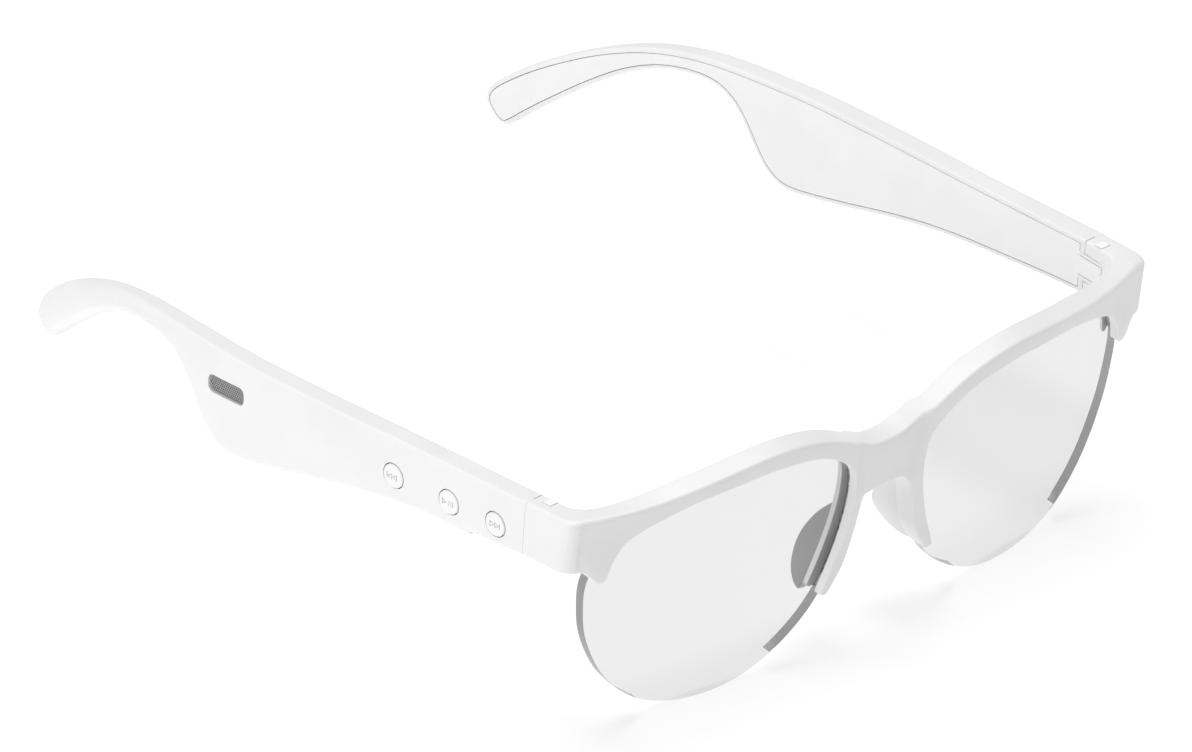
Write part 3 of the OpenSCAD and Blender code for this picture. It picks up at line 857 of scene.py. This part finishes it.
def grille(side):
    """A perforated plate: a flat curve with a hole for each perforation, given thickness."""
    place = outer_station(GRILLE_Y, GRILLE_Z, GRILLE_LEAN)
    shape = bpy.data.curves.new("perforation", "CURVE")
    shape.dimensions = "2D"
    shape.fill_mode = "BOTH"
    shape.extrude = 0.15
    pitch, hole = 0.52, 0.17
    row = pitch * 0.866
    outlines = [rounded_bar(GRILLE_L - 0.06, GRILLE_H - 0.06, GRILLE_CORNER, 6)]
    rows = int(GRILLE_H / 2 / row)
    for j in range(-rows, rows + 1):
        for i in range(-11, 12):
            x, z = (i + 0.5 * (j % 2)) * pitch, j * row
            reach = [max(abs(x) - (GRILLE_L / 2 - GRILLE_CORNER), 0),
                max(abs(z) - (GRILLE_H / 2 - GRILLE_CORNER), 0)]
            if math.hypot(*reach) < GRILLE_CORNER - hole - 0.18:
                turn = [math.pi / 4 * k for k in range(8)]
                outlines.append([(x + hole * math.cos(a), z + hole * math.sin(a)) for a in turn])
    for points in outlines:
        spline = shape.splines.new("POLY")
        spline.points.add(len(points) - 1)
        for p, (x, z) in zip(spline.points, points):
            p.co = (x, z, 0, 1)
        spline.use_cyclic_u = True
    flat = bpy.data.objects.new("perforation", shape)
    bpy.context.scene.collection.objects.link(flat)
    bpy.context.view_layer.update()
    mesh = bpy.data.meshes.new_from_object(flat.evaluated_get(bpy.context.evaluated_depsgraph_get()))
    bpy.data.objects.remove(flat)
    bm = bmesh.new()
    bm.from_mesh(mesh)
    bmesh.ops.remove_doubles(bm, verts=bm.verts[:], dist=1e-4)
    for v in bm.verts:
        v.co = place(v.co.z - GRILLE_PLATE_DEPTH, v.co.x, v.co.y)
    turn_out(bm)
    obj = solid(bm, "speaker_grille_plate_" + side, side == "right")
    finished(obj, mat_grille)
    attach(obj, "temple_" + side)
    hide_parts("speaker_grille_" + side)


for side in ("left", "right"):
    temple_shell(side)
    temple_cover(side)
    grille(side)

# Buttons --------------------------------------------------------------------------------

# Generic media symbols as strokes, in (right, up)
BAR = [(-1.1, 0.45), (-1.1, -0.45)]
ARROW = [(-0.9, 0), (-0.1, 0.42), (-0.1, -0.42), (-0.9, 0)]
SECOND_ARROW = [(x + 1.0, z) for x, z in ARROW]
PLAY = [(-x - 1.25, z) for x, z in ARROW]
SLASH = [(0.1, -0.5), (0.35, 0.5)]
PAUSE = [[(x, 0.42), (x, -0.42)] for x in (0.7, 1.1)]
ICONS = {
    "previous": [BAR, ARROW, SECOND_ARROW],
    "play_pause": [PLAY, SLASH] + PAUSE,
    "next": [[(-x, z) for x, z in stroke] for stroke in (BAR, ARROW, SECOND_ARROW)],
}
STROKE = 0.042
ICON_SCALE = 1.2


def lathe(profile, place):
    """A turned solid from (radius, height) pairs, closed on its axis at both ends."""
    bm = bmesh.new()
    rings = []
    for r, h in profile:
        if r == 0:
            rings.append([bm.verts.new(place(h, 0, 0))])
        else:
            turn = [math.tau * k / BUTTON_SIDES for k in range(BUTTON_SIDES)]
            rings.append([bm.verts.new(place(h, r * math.cos(a), r * math.sin(a))) for a in turn])
    for a, b in zip(rings, rings[1:]):
        for k in range(BUTTON_SIDES):
            j = (k + 1) % BUTTON_SIDES
            corners = [a[k % len(a)], a[j % len(a)], b[j % len(b)], b[k % len(b)]]
            bm.faces.new(list(dict.fromkeys(corners)))
    turn_out(bm)
    return bm


def button(name, y):
    place = mirror_x(outer_station(y, BUTTON_Z))
    edge, top, rise = 0.32, 0.3, 0.08
    stem_r, stem_end, cap_end = 0.7, -2.1, -1.55
    turn = [math.radians(90 * k / 6) for k in range(7)]
    rim = [(BUTTON_R - edge + edge * math.cos(a), top - edge + edge * math.sin(a) - rise) for a in turn]
    dome = [(BUTTON_R * f, top - rise + rise * (1 - f * f / 0.77)) for f in (0.7, 0.45, 0.2)]
    stem = [(0, stem_end), (stem_r, stem_end), (stem_r, cap_end), (BUTTON_R, cap_end)]
    profile = stem + rim + dome + [(0, top)]
    bm = lathe(profile, place)
    for stroke in ICONS[name]:
        for (x0, z0), (x1, z1) in zip(stroke, stroke[1:]):
            x0, z0, x1, z1 = [ICON_SCALE * c for c in (x0, z0, x1, z1)]
            along = Vector((x1 - x0, z1 - z0)).normalized() * STROKE
            across = Vector((-along.y, along.x))
            ends = [Vector((x0, z0)) - along, Vector((x1, z1)) + along]
            flat = [ends[0] - across, ends[1] - across, ends[1] + across, ends[0] + across]
            a = [bm.verts.new(place(top - 0.1, -p.x, p.y)) for p in flat]
            b = [bm.verts.new(place(top + 0.012, -p.x, p.y)) for p in flat]
            faces = [bm.faces.new(b), bm.faces.new(a[::-1])]
            faces += [bm.faces.new((a[k], a[(k + 1) % 4], b[(k + 1) % 4], b[k])) for k in range(4)]
            bmesh.ops.recalc_face_normals(bm, faces=faces)
            for f in faces:
                f.material_index = 1
    obj = solid(bm, "button_cap_" + name)
    finished(obj, mat_button, mat_icon)
    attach(obj, "cap_" + name)
    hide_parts("button_" + name)


for name, y in BUTTON_Y.items():
    button(name, y)

# The CAD parts that stay: their finishes --------------------------------------------------

FINISH = {
    "hinge_pin": mat_steel,
    "pin_cap": mat_cap,
    "hinge_bush": mat_brass,
    "battery": mat_foil,
    "circuit_board": mat_board,
    "audio_module": mat_module,
    "speaker_frame": mat_basket,
    "speaker_magnet": mat_magnet,
    "speaker_cone": mat_cone,
    "microphone": mat_gold,
    "charging_plate": mat_plate,
    "charging_pins": mat_gold,
    "button_switches": mat_switch,
}
for name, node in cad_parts.items():
    kind = name.removesuffix("_left").removesuffix("_right")
    if kind in FINISH:
        node.data.materials.clear()
        node.data.materials.append(FINISH[kind])

# Floor, light and camera --------------------------------------------------------------------

FLOOR_HALF = 4
FLOOR_GLOW = 0.41
SKY_LIGHT = 0.34

floor_mesh = bpy.data.meshes.new("floor")
corners = [(x * FLOOR_HALF, y * FLOOR_HALF, 0) for x, y in ((-1, -1), (1, -1), (1, 1), (-1, 1))]
floor_mesh.from_pydata(corners, [], [(0, 1, 2, 3)])
floor = bpy.data.objects.new("floor", floor_mesh)
bpy.context.scene.collection.objects.link(floor)
mat_floor = material("floor_paper", (0.66, 0.66, 0.66), 0.9, tone=0.005)
floor_shader = mat_floor.node_tree.nodes["Principled BSDF"]
floor_shader.inputs["Emission Color"].default_value = (1, 1, 1, 1)
floor_shader.inputs["Emission Strength"].default_value = FLOOR_GLOW
floor_shader.inputs["Specular IOR Level"].default_value = 0
floor_mesh.materials.append(mat_floor)

world = bpy.data.worlds.new("studio")
world.use_nodes = True
world.node_tree.nodes["Background"].inputs["Color"].default_value = (1, 1, 1, 1)
world.node_tree.nodes["Background"].inputs["Strength"].default_value = SKY_LIGHT
bpy.context.scene.world = world


def softbox(name, place, target, size, energy):
    light = bpy.data.lights.new(name, "AREA")
    light.shape = "SQUARE"
    light.size = size
    light.energy = energy
    obj = bpy.data.objects.new(name, light)
    obj.location = place
    obj.rotation_mode = "QUATERNION"
    obj.rotation_quaternion = (Vector(target) - Vector(place)).to_track_quat("-Z", "Y")
    bpy.context.scene.collection.objects.link(obj)


softbox("top", (0.1, 0.0, 1.4), (0, 0, 0), 1.2, 15.5)
softbox("left", (-1.3, 0.15, 0.1), (0, 0, 0.03), 0.7, 8.8)

AZIMUTH = math.radians(-44)
ELEVATION = math.radians(28.9)
AIM = Vector((-17.5, -21.75, 38.45)) * MM
back = Vector((math.sin(AZIMUTH) * math.cos(ELEVATION), -math.cos(AZIMUTH) * math.cos(ELEVATION),
    math.sin(ELEVATION)))
camera_data = bpy.data.cameras.new("camera")
camera_data.type = "ORTHO"
camera_data.ortho_scale = 0.2179
camera_data.clip_start = 0.01
camera_data.clip_end = 50
camera = bpy.data.objects.new("camera", camera_data)
camera.location = AIM + back * 1.5
camera.rotation_mode = "QUATERNION"
camera.rotation_quaternion = (-back).to_track_quat("-Z", "Y")
bpy.context.scene.collection.objects.link(camera)
bpy.context.scene.camera = camera
bpy.context.scene.view_settings.view_transform = "Standard"
